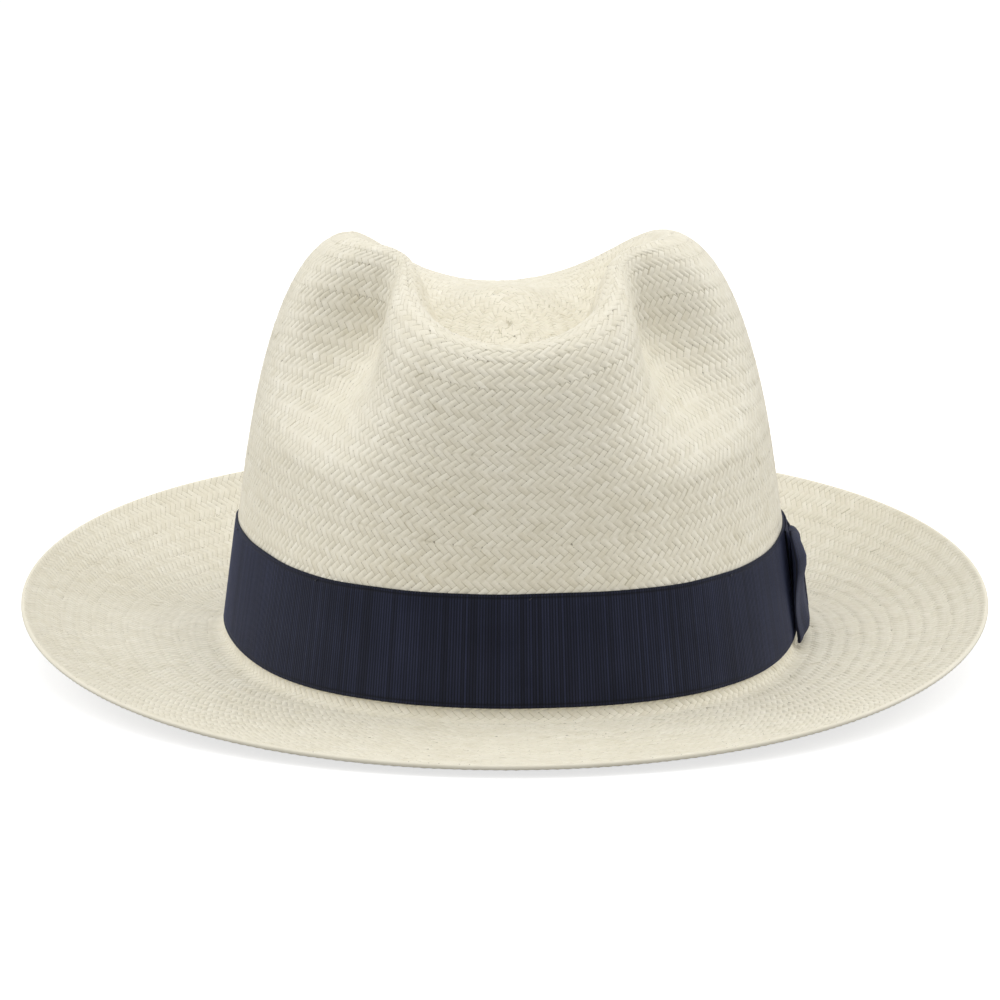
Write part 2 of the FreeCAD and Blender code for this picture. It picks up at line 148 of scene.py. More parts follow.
# Ribbon
ribbon_start = 0.2
ribbon_height = 30.8
ribbon_thickness = 0.7
rib_pitch = 0.82
rib_relief = 0.11
rib_samples = 4                # mesh rows per rib
rib_height_spread = 0.08       # random height and shade of the ribs
rib_shades = 0.55, 1.25
rib_sharpness = 0.8
selvage = 1.0                  # distance of the edge's groove from the edge
# The groove's depth also sets how much painted shade darkens it.
groove_depth = 0.8
groove_width = 0.28
groove_sink = 0.10
edge_rounding = 0.25
edge_share = 0.45              # thickness at the very edge, as a share of the middle's
# Painted shade along a strip's edges: how far in from the edge it reaches, and the least value it leaves at
# the very edge.
edge_shade_width, edge_shade_least = 0.45, 0.25
edge_places = 0.0, 0.10, 0.25, 0.5, 0.8, 1.0, 1.2, 1.6   # mesh lines near a strip's edges
edge_zone = 2.2
ribbon_step, leather_step = 3.2, 2.4          # mesh lines between the edges
layer_gap = 0.1
ribbon_end_gap = 0.08
ripple_waves = (0.14, 5.0, 1.0), (0.09, 11.0, 0.4), (0.05, 23.0, 0.0)    # height, number, start
foot_ripple_share = 0.3
girth_height, girth_offset = 10.0, 0.5        # where the ribbon's length is measured

# Bow
bow_angle = 86.0
bow_half_length = 28.0
bow_cloth = 0.6
bow_low, bow_high = -0.9, 32.2
bow_rear_share = 0.45
bow_drop = 5.0
bow_waist = 6.0
bow_inner, bow_outer = 2.7, 5.5               # middle lines of the loops' two layers
bow_middle_share = 0.36
loop_roundness = 0.6
front_fade, front_start = 10.0, 0.3           # the shape below belongs to the front loop
upper_bulge, upper_level, upper_spread = 0.75, 0.72, 0.20
lower_bulge, lower_level, lower_spread = 0.30, 0.06, 0.10
loop_thinning = 0.55
corner_cut = 0.06
lean_reach, lean_start, lean_length, lean_fall = 1.5, 16.0, 8.0, 1.3
knot_width = 13.0
knot_inner, knot_outer = 1.95, 4.45
knot_pinch, knot_pinch_level, knot_pinch_spread = 0.13, 14.0, 7.0
knot_crown = 0.35
crease_depth, crease_side, crease_slant, crease_width = 0.16, 1.6, 0.05, 0.8
tail_front, tail_back, tail_slant = 20.0, 36.0, 10.0
tail_start, tail_offset = 0.6, 0.9
tail_narrower = 1.0
tail_flare, tail_flare_start = 0.5, 0.8

# Leather, its bow, and stitches
leather_start, leather_width, leather_thickness = -0.9, 35.0, 0.9
leather_offset = 1.8
leather_end_gap = 0.003        # radians on each side of the back seam
leather_rounding, leather_edge_share = 0.4, 0.4
leather_lift = 0.30            # the upper edge stands off the straw in waves
leather_waves = (0.25, 7.0, 0.6), (0.16, 17.0, 0.0)
small_bow_angle = 180.0
small_bow_cloth = 0.5
small_bow_half_length, small_bow_width, small_bow_level = 9.0, 9.0, 7.1
small_bow_inner, small_bow_outer = 3.2, 5.0
small_bow_middle_share = 0.7
small_bow_pinch, small_bow_pinch_spread = 0.45, 3.0
small_knot_low, small_knot_high, small_knot_width = 4.3, 9.9, 4.0
small_knot_inner, small_knot_outer = 3.0, 5.6
band_stitches = 190
band_stitch_start, band_stitch_share = 0.15, 0.72        # in parts of the stitches' pitch
band_stitch_height, band_stitch_offset = 0.85, -3.28
band_thread, tack_thread = 0.2, 0.16          # radii
tack_angles = range(-160, 200, 40)
tack_bow_distance = 35.0       # degrees kept free at the bow
tack_half_angle = 0.004
tack_low, tack_high = 1.5, 0.9                # below the ribbon's upper edge
tack_offset = 0.83
thread_rise = 0.12

# Colours, as screen values between 0 and 255
straw_shade, straw_light = (221, 214, 192), (240, 235, 219)
# The second pair below is painted shade: a darker straw for the weave's low places at the floats' edges and
# ends, and a dark brown for the shade seen through small holes in the weave.
straw_gap_shade, straw_hole_shade = (184, 176, 150), (92, 80, 58)
navy_dark, navy_light, navy_sheen = (24, 28, 46), (33, 37, 56), (140, 150, 200)
hide_dark, hide_light, hide_groove = (150, 104, 66), (184, 134, 90), (96, 62, 38)
noise_range = 0.3, 0.7         # where most values of a noise texture lie

# Bend, studio and camera, in metres
floor_size, floor_gap, floor_glow = 30.0, 0.0002, 0.72
world_glow = 0.64
top_height, top_size, top_power = 1.6, 1.6, 11.5
side_distance, side_behind, side_height = 1.5, 0.4, 0.9
side_size, side_power = 1.2, 9.0
camera_distance = 1.2
camera_up, camera_side = 12.0, 3.4            # degrees
camera_sensor, camera_lens = 36.0, 144.7      # millimetres
camera_target = -0.0023, 0.0083, 0.0383


def bump(angle, centre, spread):
    """1 at the centre (degrees), falling smoothly to 0."""
    away = (np.degrees(angle) - centre + 180.0) % 360.0 - 180.0
    return np.exp(-(away / spread) ** 2)


def smooth(value):
    held = np.clip(value, 0.0, 1.0)
    return held * held * (3.0 - 2.0 * held)


def oval_radius(angle, half_length, half_width):
    return 1.0 / np.hypot(np.sin(angle) / half_width, np.cos(angle) / half_length)


def crown_radius(angle):
    """Outline of the crown at the ribbon's lower edge."""
    across = np.abs(np.sin(angle)) / crown_half_width
    along = np.abs(np.cos(angle)) / crown_half_length
    return (across ** crown_squareness + along ** crown_squareness) ** (-1.0 / crown_squareness)


def pinch(angle):
    left = bump(angle, nose_angle + pinch_angle, pinch_spread)
    right = bump(angle, nose_angle - pinch_angle, pinch_spread)
    return left + right


def nose(angle):
    return bump(angle, nose_angle, nose_spread)


def points_at(radius, angle, height):
    return np.stack([radius * np.sin(angle), -radius * np.cos(angle), height + 0.0 * angle], axis=-1)


def crown_foot(angle):
    return side_lift * np.sin(angle) ** 6


def rim_radius(angle):
    oval = oval_radius(angle, rim_half_length, rim_half_width)
    return oval + nose_reach * nose(angle) - pinch_rim_depth * pinch(angle)


def rim_level(angle):
    front = front_dip * bump(angle, nose_angle, front_dip_spread)
    back = back_dip * bump(angle, 180.0, back_dip_spread)
    return rim_height - front - back


def wall_radius(angle, level):
    """Outside of the crown's wall; level is 0 at the ribbon's lower edge and 1 at the ridge."""
    rim = rim_radius(angle)
    foot = crown_radius(angle)
    taper = wall_taper + nose_taper * nose(angle)
    squareness = wall_squareness + front_squareness * bump(angle, nose_angle, front_spread)
    bulge = (1.0 - taper * level) * np.sqrt(1.0 - level ** squareness)
    depth = pinch_wall_share * smooth((level - pinch_start) / (pinch_level - pinch_start))
    return rim + (foot - rim) * bulge * (1.0 - pinch(angle) * depth)


def wall_point(angle, level):
    foot = crown_foot(angle)
    return points_at(wall_radius(angle, level), angle, foot + (rim_level(angle) - foot) * level)


def dent_point(angle, share):
    """Inside of the ridge; share is 1 at the ridge and 0 at the dent's centre."""
    radius = rim_radius(angle) * share
    across, back = radius * np.sin(angle), -radius * np.cos(angle)
    away = (across / swell_half_width) ** 2 + ((back - swell_back) / swell_half_length) ** 2
    floor = dent_floor_height + dent_floor_slope * (back - dent_floor_front) + swell_height * np.exp(-away)
    climb = smooth((share - dent_floor_share) / (1.0 - dent_floor_share))
    return points_at(radius, angle, floor * (1.0 - climb) + rim_level(angle) * climb)


def brim_point(angle, share):
    """Top of the brim; share is 0 at the corner under the crown's wall and 1 at the edge."""
    foot = crown_radius(angle)
    inner = points_at(foot, angle, crown_foot(angle) - fold)
    edge_height = brim_mean_height - brim_back_rise * np.cos(angle) - brim_side_rise * np.cos(2.0 * angle)
    outer = points_at(oval_radius(angle, brim_half_length, brim_half_width), angle,
                      edge_height + brim_left_rise * np.sin(angle))
    outer[..., 0] += brim_shift
    sag = brim_side_sag * np.sin(angle) ** 2
    flat = inner + (outer - inner) * np.asarray(share)[..., None]
    flat[..., 2] = inner[..., 2] + (outer[..., 2] - inner[..., 2] + sag) * share ** brim_curl - sag * share
    return flat


def fold_start(angle):
    width = oval_radius(angle, brim_half_length, brim_half_width)
    return fold / (width - crown_radius(angle))


def fold_point(angle, share):
    """Rounded fold from the brim (0) to the crown's wall (1)."""
    start = brim_point(angle, fold_start(angle))
    corner = brim_point(angle, 0.0 * angle)
    finish = wall_point(angle, 0.0 * angle)
    part = np.asarray(share)[..., None]
    return start * (1.0 - part) ** 2 + corner * 2.0 * part * (1.0 - part) + finish * part ** 2


def sheet_point(angle, travel):
    """Top of the straw sheet: travel 0 to 1 is the brim, to 2 the fold, to 3 the wall, to 4 the dent."""
    angle, travel = np.broadcast_arrays(np.asarray(angle, float), np.asarray(travel, float))
    result = np.empty(angle.shape + (3,))
    sections = (
        (travel < 1.0, lambda a, t: brim_point(a, 1.0 - (1.0 - fold_start(a)) * t)),
        ((travel >= 1.0) & (travel < 2.0), lambda a, t: fold_point(a, t - 1.0)),
        ((travel >= 2.0) & (travel < 3.0), lambda a, t: wall_point(a, 1.0 - (3.0 - t) ** wall_spacing)),
        (travel >= 3.0, lambda a, t: dent_point(a, 1.0 - (1.0 - dent_centre_share) * (t - 3.0))),
    )
    for where, section in sections:
        result[where] = section(angle[where], travel[where])
    return result


def sheet_normal(angle, travel):
    step = 1e-3
    ahead = np.minimum(travel + step, sheet_end)
    behind = np.maximum(travel - step, 0.0)
    along = sheet_point(angle + step, travel) - sheet_point(angle - step, travel)
    across = sheet_point(angle, ahead) - sheet_point(angle, behind)
    normal = np.cross(along, across)
    return normal / np.linalg.norm(normal, axis=-1, keepdims=True)


def unit(vectors):
    return vectors / np.maximum(np.linalg.norm(vectors, axis=-1, keepdims=True), 1e-12)


# ---------------------------------------------------------------- meshes

def mesh_object(name, points, faces):
    """Object from points in millimetres and a list of index arrays, one row per face."""
    mesh = bpy.data.meshes.new(name)
    corners = np.concatenate([group.ravel() for group in faces]).astype(np.int32)
    sizes = np.concatenate([np.full(len(group), group.shape[1]) for group in faces]).astype(np.int32)
    starts = np.concatenate([[0], np.cumsum(sizes)[:-1]]).astype(np.int32)
    mesh.vertices.add(len(points))
    mesh.vertices.foreach_set("co", (np.asarray(points) * MM).astype(np.float32).ravel())
    mesh.loops.add(len(corners))
    mesh.loops.foreach_set("vertex_index", corners)
    mesh.polygons.add(len(sizes))
    mesh.polygons.foreach_set("loop_start", starts)
    mesh.update(calc_edges=True)
    mesh.validate()
    mesh.polygons.foreach_set("use_smooth", np.ones(len(mesh.polygons), bool))
    made = bpy.data.objects.new(name, mesh)
    bpy.context.scene.collection.objects.link(made)
    return made


def add_uv(made, name, across, along, period):
    """UV layer from two values per vertex; faces that cross the period's end are put together."""
    mesh = made.data
    corner = np.empty(len(mesh.loops), np.int32)
    mesh.loops.foreach_get("vertex_index", corner)
    start = np.empty(len(mesh.polygons), np.int32)
    mesh.polygons.foreach_get("loop_start", start)
    first = across[corner]
    if period:
        highest = np.maximum.reduceat(first, start)
        size = np.diff(np.append(start, len(corner)))
        first = first + period * (np.repeat(highest, size) - first > period / 2.0)
    layer = mesh.uv_layers.new(name=name)
    layer.data.foreach_set("uv", np.stack([first, along[corner]], axis=-1).astype(np.float32).ravel())


def add_value(made, name, values):
    layer = made.data.attributes.new(name, "FLOAT", "POINT")
    layer.data.foreach_set("value", np.asarray(values, np.float32))


def ring_quads(first, second, count):
    """Quads between two closed rings of vertices with the same count."""
    here = np.arange(count)
    ahead = (here + 1) % count
    return np.stack([first + here, first + ahead, second + ahead, second + here], axis=-1)


def zipped(first, first_angles, second, second_angles):
    """Triangles between two closed rings with different counts, both in rising order of angle."""
    def middles(angles):
        return (angles + np.append(angles[1:], angles[0] + 2.0 * math.pi)) / 2.0

    first_count, second_count = len(first_angles), len(second_angles)
    first_middles, second_middles = middles(first_angles), middles(second_angles)
    here = np.arange(first_count)
    reach = np.searchsorted(second_middles, first_middles)
    lower = np.stack([first + here, first + (here + 1) % first_count, second + reach % second_count],
                     axis=-1)
    here = np.arange(second_count)
    reach = np.searchsorted(first_middles, second_middles)
    upper = np.stack([second + (here + 1) % second_count, second + here, first + reach % first_count],
                     axis=-1)
    return np.concatenate([lower, upper])


# ---------------------------------------------------------------- woven straw

def travel_at_length():
    """Mean distance along the sheet against travel, from the brim's edge to the middle of the dent."""
    travel = np.linspace(0.0, sheet_end, 801)
    angle = np.linspace(0.0, 2.0 * math.pi, 73)[:-1]
    grid = sheet_point(angle[:, None], travel[None, :])
    steps = np.linalg.norm(np.diff(grid, axis=1), axis=-1).mean(axis=0)
    return travel, np.concatenate([[0.0], np.cumsum(steps)])


def ring_length(travel):
    angle = np.linspace(0.0, 2.0 * math.pi, 361)
    return np.linalg.norm(np.diff(sheet_point(angle, travel + 0.0 * angle), axis=0), axis=-1).sum()


def weave_zones(start, finish):
    """Zones of rows between two travels. A zone keeps one number of floats; it ends where the floats
    would get too wide or too narrow. Returns the row edges as travels, and each zone's first row, last row
    and floats."""
    travel, length = travel_at_length()
    low, high = np.interp([start, finish], travel, length)
    rows = max(2, round((high - low) / float_pitch))
    edges = np.interp(np.linspace(low, high, rows + 1), length, travel)
    wanted = [ring_length((one + two) / 2.0) / float_pitch for one, two in zip(edges, edges[1:])]
    zones = []
    first = 0
    while first < rows:
        floats = max(least_floats, round(wanted[first]))
        last = first + 2
        while last < rows and abs(wanted[last] - floats) < zone_slack * floats:
            last += 1
        last = min(last, rows)
        floats = max(least_floats, round(sum(wanted[first:last]) / (last - first)))
        zones.append((first, last, floats))
        first = last
    return edges, zones


def strand_place(steps, count):
    """Places of grid lines across one strand: an even grid, or lines drawn toward the strand's edges."""
    if count == fine_lines:
        return np.array([0.0, float_edge, 1.0 - float_edge])[steps]
    return steps / count


def woven_face(edges, zones, lines, depth, direction):
    """One face of the weave, as rings of points on a grid that lies along the slanted strands.
    Two sets of strands cross square to each other and each float passes over two (a 2/2 twill), so the
    floats form rows that lean left and right in turn. lines is the number of grid lines per strand,
    depth is how far the face lies under the sheet's top, and direction is 1 for the top, -1 for the
    underside."""
    step = 2 * lines
    found = {key: [] for key in ("angle", "row", "height", "tone", "lean", "hole", "turns")}
    faces, rings = [], []
    total = 0
    for first, last, floats in zones:
        count = lines * floats
        ring_numbers = np.arange(step * first, step * last)
        back = ring_numbers[:, None] // 2
        rise = np.arange(count)[None, :] - back              # grid line of the strands that lean right
        fall = rise + ring_numbers[:, None]                  # grid line of the strands that lean left
        rise_strand, fall_strand = rise // lines, fall // lines
        rise_place = strand_place(rise % lines, lines)
        fall_place = strand_place(fall % lines, lines)
        one, two = rise_strand + rise_place, fall_strand + fall_place
        float_row = (fall_strand - rise_strand) // 2
        leans_right = float_row % 2 == 0
        across = np.where(leans_right, rise_place, fall_place)
        along = np.where(leans_right, (two - rise_strand) / 2.0 - float_row,
                         (one - fall_strand + 1.0) / 2.0 + float_row)
        strand = np.where(leans_right, rise_strand, fall_strand) % floats
        table = random_numbers.normal(0.0, 1.0, (3, last - first + spare_rows, floats))
        lift, tilt, tone = table[:, float_row - first + rows_before, strand]
        crest = np.clip(np.minimum(across, 1.0 - across) / float_edge, 0.0, 1.0)
        dive = np.clip(4.0 * along * (1.0 - along), 0.0, 1.0) ** float_roundness
        found["angle"].append((one + two + 0.5) / 2.0 / floats * 2.0 * math.pi)
        found["row"].append((two + 0.5 - one) / 2.0)
        leaning = 1.0 + float_lift_spread * lift + float_tilt_spread * tilt * (across - 0.5)
        arch = float_end_height + (1.0 - float_end_height) * dive
        found["height"].append(crest * arch * leaning)
        crossing = (rise_place == 0.0) & (fall_place == 0.0)
        found["hole"].append(np.where(crossing & (tone > hole_tone) & (direction > 0), 1.0, 0.0))
        found["tone"].append(tone)
        found["lean"].append(leans_right * 1.0)
        found["turns"].append((one + two) / 2.0)
        starts = total + count * np.arange(len(ring_numbers))
        here = np.arange(count)
        ahead = (here + 1) % count
        for number, ring_number in enumerate(ring_numbers):
            beside = (here + ring_number % 2) % count
            left, right = starts[number] + here, starts[number] + ahead
            above, below = starts[number] + count + beside, starts[number] - count + beside
            if number == 0:
                faces.append(np.stack([left, right, above], axis=-1))
            elif number == len(ring_numbers) - 1:
                faces.append(np.stack([below, right, left], axis=-1))
            else:
                faces.append(np.stack([below, right, above, left], axis=-1))
        if rings:
            faces.append(zipped(*rings[-1], starts[0], found["angle"][-1][0]))
        else:
            first_ring = (starts[0], found["angle"][-1][0])
        rings.append((starts[-1], found["angle"][-1][-1]))
        total += count * len(ring_numbers)
    flat = {key: np.concatenate([each.ravel() for each in values]) for key, values in found.items()}
    travel = np.interp(flat["row"], np.arange(len(edges)), edges)
    normal = sheet_normal(flat["angle"], travel)
    proud = relief * flat["height"] * direction - depth
    points = sheet_point(flat["angle"], travel) + normal * proud[:, None]
    if direction < 0:
        faces = [group[:, ::-1] for group in faces]
    return {"points": points, "faces": faces, "first": first_ring, "last": rings[-1], "travel": travel,
            "uv": np.stack([flat["turns"], flat["row"]], axis=-1), **flat}


def joined(parts):
    """One set of points and faces from several woven faces or rings."""
    offset = 0
    points, faces = [], []
    for part in parts:
        points.append(part["points"])
        faces += [group + offset for group in part["faces"]]
        offset += len(part["points"])
    return np.concatenate(points), faces


def edge_lip(top):
    """Rounded brim edge: rings round the sheet's half thickness, outward from the top's first ring."""
    start, angle = top["first"]
    count = len(angle)
    step = 0.02
    travel = top["travel"][start:start + count]
    normal = sheet_normal(angle, travel)
    outward = unit(sheet_point(angle, travel) - sheet_point(angle, travel + step))
    radius = straw_thickness / 2.0
    middle = sheet_point(angle, travel) - normal * radius
    rings = [middle + radius * (outward * math.sin(turn) + normal * math.cos(turn))
             for turn in np.radians(lip_angles)]
    faces = [ring_quads((row + 1) * count, row * count, count) for row in range(len(rings) - 1)]
    return {"points": np.concatenate(rings), "faces": faces, "count": count, "rows": len(rings),
            "angle": np.tile(angle, len(rings))}


def add_centre(face, turned):
    """Closes a woven face with triangles from its last ring to one point in the middle."""
    start, angle = face["last"]
    here = np.arange(len(angle))
    tip = len(face["points"])
    fan = np.stack([start + here, start + (here + 1) % len(angle), np.full(len(angle), tip)], axis=-1)
    face["faces"].append(fan[:, ::-1] if turned else fan)
    face["points"] = np.concatenate([face["points"], face["points"][start:].mean(axis=0)[None]])
    for key in ("height", "angle", "row", "tone", "lean", "hole", "uv"):
        face[key] = np.concatenate([face[key], face[key][-1:]])


def straw_piece(name, start, finish, has_brim_edge):
    """Closed piece of the woven sheet with its top, its underside and its ends."""
    edges, zones = weave_zones(start, finish)
    top = woven_face(edges, zones, fine_lines, 0.0, 1.0)
    under = woven_face(edges, zones, coarse_lines, straw_thickness, -1.0)
    if not has_brim_edge:
        add_centre(top, False)
        add_centre(under, True)
    parts = [top, under]
    under_start = len(top["points"])
    lip_start = under_start + len(under["points"])
    if has_brim_edge:
        lip = edge_lip(top)
        parts.append(lip)
    points, faces = joined(parts)
    under_first = (under_start + under["first"][0], under["first"][1])
    under_last = (under_start + under["last"][0], under["last"][1])
    if has_brim_edge:
        count = lip["count"]
        faces.append(ring_quads(lip_start, top["first"][0], count))
        faces.append(zipped(*under_first, lip_start + (lip["rows"] - 1) * count, top["first"][1]))
        faces.append(zipped(*top["last"], *under_last))
    else:
        faces.append(zipped(*under_first, *top["first"]))
    made = mesh_object(name, points, faces)
    extra = len(points) - lip_start
    rows = len(edges)
    deep = np.concatenate([top["row"] / rows * bake_top_height + bake_top,
                           under["row"] / rows * bake_under_height + bake_under,
                           np.full(extra, bake_edge)])
    angle = np.concatenate([part["angle"] for part in parts]) / (2.0 * math.pi)
    add_uv(made, "OFBake", angle * bake_width, deep, bake_width)
    weave = np.concatenate([top["uv"], under["uv"], np.zeros((extra, 2))])
    add_uv(made, "weave", weave[:, 0], weave[:, 1], 0.0)
    for key, rest in (("height", underside_tint), ("tone", 0.0), ("lean", 0.5), ("hole", 0.0)):
        add_value(made, key, np.concatenate([top[key], under[key], np.full(extra, rest)]))
    return made


def woven_straw():
    brim = straw_piece("woven_brim", 0.0, straw_split, True)
    crown = straw_piece("woven_crown", straw_split, sheet_end, False)
    return crown, brim


# ---------------------------------------------------------------- strips of ribbon, leather and tape

def side_point(angle, height, offset):
    """Point beside the crown's wall: a height above its foot and a level distance off the straw."""
    given = [np.asarray(each, float) for each in (angle, height, offset)]
    angle, height, offset = np.broadcast_arrays(*given)

    def radius_at(turned):
        level = np.maximum(height, 0.0) / (rim_level(turned) - crown_foot(turned))
        return wall_radius(turned, level)

    nudge = 1e-3
    radius = radius_at(angle)
    change = (radius_at(angle + nudge) - radius_at(angle - nudge)) / (2.0 * nudge)
    sine, cosine = np.sin(angle), np.cos(angle)
    along = unit(np.stack([change * sine + radius * cosine, radius * sine - change * cosine], axis=-1))
    outward = np.stack([along[..., 1], -along[..., 0], 0.0 * angle], axis=-1)
    return points_at(radius, angle, crown_foot(angle) + height) + outward * offset[..., None]


def angle_along():
    """Angle against distance round the ribbon, starting at the bow."""
    start = math.radians(bow_angle)
    angle = np.linspace(start, start + 2.0 * math.pi, 721)
    steps = np.linalg.norm(np.diff(side_point(angle, girth_height, girth_offset), axis=0), axis=-1)
    return angle, np.concatenate([[0.0], np.cumsum(steps)])


def strip(name, place, along, across, outer, inner, closed):
    """Closed strip of cloth. place(along, across, out) gives points; outer and inner are the distances
    of the two faces from the middle, for each along (rows) and across (columns)."""
    rows, columns = len(along), len(across)
    grid_along = np.repeat(along[:, None], columns, axis=1)
    grid_across = np.repeat(across[None, :], rows, axis=0)
    front = place(grid_along, grid_across, outer).reshape(-1, 3)
    back = place(grid_along, grid_across, -inner).reshape(-1, 3)
    index = np.arange(rows * columns).reshape(rows, columns)
    if closed:
        index = np.concatenate([index, index[:1]])
    shift = rows * columns
    quad = np.stack([index[:-1, :-1], index[1:, :-1], index[1:, 1:], index[:-1, 1:]], axis=-1).reshape(-1, 4)
    faces = [quad, quad[:, ::-1] + shift]
    edges = [(index[:, 0], 1), (index[:, -1], -1)]
    if not closed:
        edges += [(index[0], -1), (index[-1], 1)]
    for edge, flip in edges:
        side = np.stack([edge[:-1], edge[:-1] + shift, edge[1:] + shift, edge[1:]], axis=-1)
        faces.append(side[:, ::flip])
    made = mesh_object(name, np.concatenate([front, back]), faces)
    length = along[-1] - along[0] + (along[1] - along[0] if closed else 0.0)
    shares = np.tile(((grid_along - along[0]) / length).ravel(), 2)
    width = across[-1] - across[0]
    deep = ((grid_across - across[0]) / width).ravel()
    both_faces = np.concatenate([deep * bake_height + bake_front, deep * bake_height + bake_back])
    add_uv(made, "OFBake", shares * bake_width, both_faces, bake_width if closed else 0.0)
    add_uv(made, "cloth", np.tile(grid_along.ravel(), 2), np.tile(grid_across.ravel(), 2),
           length if closed else 0.0)
    return made


def edge_steps(width, inner_step):
    """Places across a strip, close together near both edges."""
    near = np.array(edge_places)
    count = max(2, round((width - 2.0 * edge_zone) / inner_step) + 1)
    inner = np.linspace(edge_zone, width - edge_zone, count)
    return np.concatenate([near, inner, width - near[::-1]])


def waves(angle, terms):
    """Sum of sine waves round the hat, each with its height, its number and its start."""
    return sum(height * np.sin(number * angle + start) for height, number, start in terms)


def grosgrain(name, place, length, width, thickness, closed=False):
    """Ribbed ribbon: ribs cross its width, and a selvage runs along both edges."""
    ribs = max(2, round(length / rib_pitch))
    count = ribs * rib_samples + (0 if closed else 1)
    along = np.arange(count) * (length / (ribs * rib_samples))
    across = edge_steps(width, ribbon_step)
    rib = (0.5 - 0.5 * np.cos(2.0 * math.pi * np.arange(count) / rib_samples)) ** rib_sharpness
    rib = rib * random_numbers.normal(1.0, rib_height_spread, ribs + 1).repeat(rib_samples)[:count]
    inward = np.minimum(across, width - across)
    rounding = np.sqrt(np.clip(inward / edge_rounding, 0.0, 1.0))
    groove = 1.0 - groove_depth * np.exp(-((inward - selvage) / groove_width) ** 2)
    woven = rib[:, None] * (rounding * groove)[None, :]
    body = thickness / 2.0 - rib_relief
    edge = body * (edge_share + (1.0 - edge_share) * rounding) - groove_sink * (1.0 - groove)
    face = edge[None, :] + rib_relief * woven
    made = strip(name, place, along, across, face, face, closed)
    # The rib value carries painted shade into the colour: darker in the valleys between ribs, in the selvage
    # groove and toward the rounded edges, and darker still along the edges. Each rib's random value is its
    # own tone.
    shade = random_numbers.uniform(*rib_shades, ribs + 1).repeat(rib_samples)[:count, None]
    edge_shade = np.clip(inward / edge_shade_width, edge_shade_least, 1.0)[None, :]
    add_value(made, "rib", np.tile((woven * shade * edge_shade).ravel(), 2))
    return made


def hat_ribbon():
    angles, lengths = angle_along()
    width = ribbon_height - ribbon_start

    def place(along, across, out):
        angle = np.interp(along + ribbon_end_gap, lengths, angles)
        ripple = waves(angle, ripple_waves) * np.clip(across / width, foot_ripple_share, 1.0)
        return side_point(angle, ribbon_start + across + ripple, layer_gap + ribbon_thickness / 2.0 + out)

    return grosgrain("grosgrain_ribbon", place, lengths[-1] - 2.0 * ribbon_end_gap, width, ribbon_thickness)


def bow_place(centre, along, height, offset):
    return side_point(math.radians(centre) + along / crown_half_width, height, offset)


def path_frame(path):
    """Length along a closed path of (first, second) pairs, and its outward normals."""
    closed = np.concatenate([path, path[:1]])
    lengths = np.concatenate([[0.0], np.cumsum(np.linalg.norm(np.diff(closed, axis=0), axis=-1))])
    around = unit(np.roll(path, -1, axis=0) - np.roll(path, 1, axis=0))
    normals = np.stack([around[:, 1], -around[:, 0]], axis=-1)
    return lengths, closed, np.concatenate([normals, normals[:1]])


def on_path(frame_of_path, along, out):
    lengths, closed, normals = frame_of_path
    values = [np.interp(along, lengths, closed[:, axis]) + out * np.interp(along, lengths, normals[:, axis])
              for axis in (0, 1)]
    return values[0], values[1]


def loop_path(half_length, low, high, middle_share, rear_share):
    """Closed middle line of a pair of flat loops, seen from above, as (along, offset) pairs."""
    middle_sharpness, rear_sharpness = 3.2, 2.0
    turn = np.linspace(0.0, 2.0 * math.pi, 241)[:-1]
    along = half_length * np.cos(turn)
    pull = 1.0 - (1.0 - middle_share) * np.exp(-(middle_sharpness * along / half_length) ** 2)
    pull *= 1.0 - (1.0 - rear_share) * smooth(rear_sharpness * along / half_length)
    swing = np.sign(np.sin(turn)) * np.abs(np.sin(turn)) ** loop_roundness
    return np.stack([along, low + (high - low) * pull * (1.0 + swing) / 2.0], axis=-1)


def wrap_path(low_height, high_height, low, high):
    """Closed middle line of a knot, seen from the end of the bow, as (height, offset) pairs."""
    radius = (high - low) / 2.0
    turn = np.radians(np.arange(-90.0, 91.0, 15.0))
    top = np.stack([high_height + radius * np.cos(turn), low + radius + radius * np.sin(turn)], axis=-1)
    bottom = np.stack([low_height - radius * np.cos(turn), low + radius - radius * np.sin(turn)], axis=-1)
    return np.concatenate([top, bottom])


def drawn_in(along, half_length, waist):
    """How far an edge of the loops is drawn in, at a distance from the bow's centre."""
    return waist * smooth(1.0 - np.abs(along) / half_length)


def bow_loops():
    path = loop_path(bow_half_length, bow_inner, bow_outer, bow_middle_share, bow_rear_share)
    lines = path_frame(path)
    width = bow_high - bow_low

    def place(along, across, out):
        distance, offset = on_path(lines, along, out)
        up = across / width
        front = smooth(-distance / front_fade - front_start)
        upper = upper_bulge * np.exp(-((up - upper_level) / upper_spread) ** 2)
        lower = lower_bulge * np.exp(-((up - lower_level) / lower_spread) ** 2)
        bulge = 1.0 + front * (upper + lower - loop_thinning)
        narrower = drawn_in(distance, bow_half_length, bow_waist)
        drop = bow_drop * smooth(0.5 + 0.5 * distance / bow_half_length)
        height = bow_low + narrower + up * (width - 2.0 * narrower - drop)
        shorter = 1.0 - front * corner_cut * (1.0 - np.sin(math.pi * np.clip(up, 0.0, 1.0)))
        lean = lean_reach * smooth((-distance - lean_start) / lean_length) * smooth(1.0 - lean_fall * up)
        off = bow_inner - lean + (offset - bow_inner) * bulge
        return bow_place(bow_angle, distance * shorter, height, off)

    return grosgrain("bow_loop_pair", place, lines[0][-1], width, bow_cloth, closed=True)


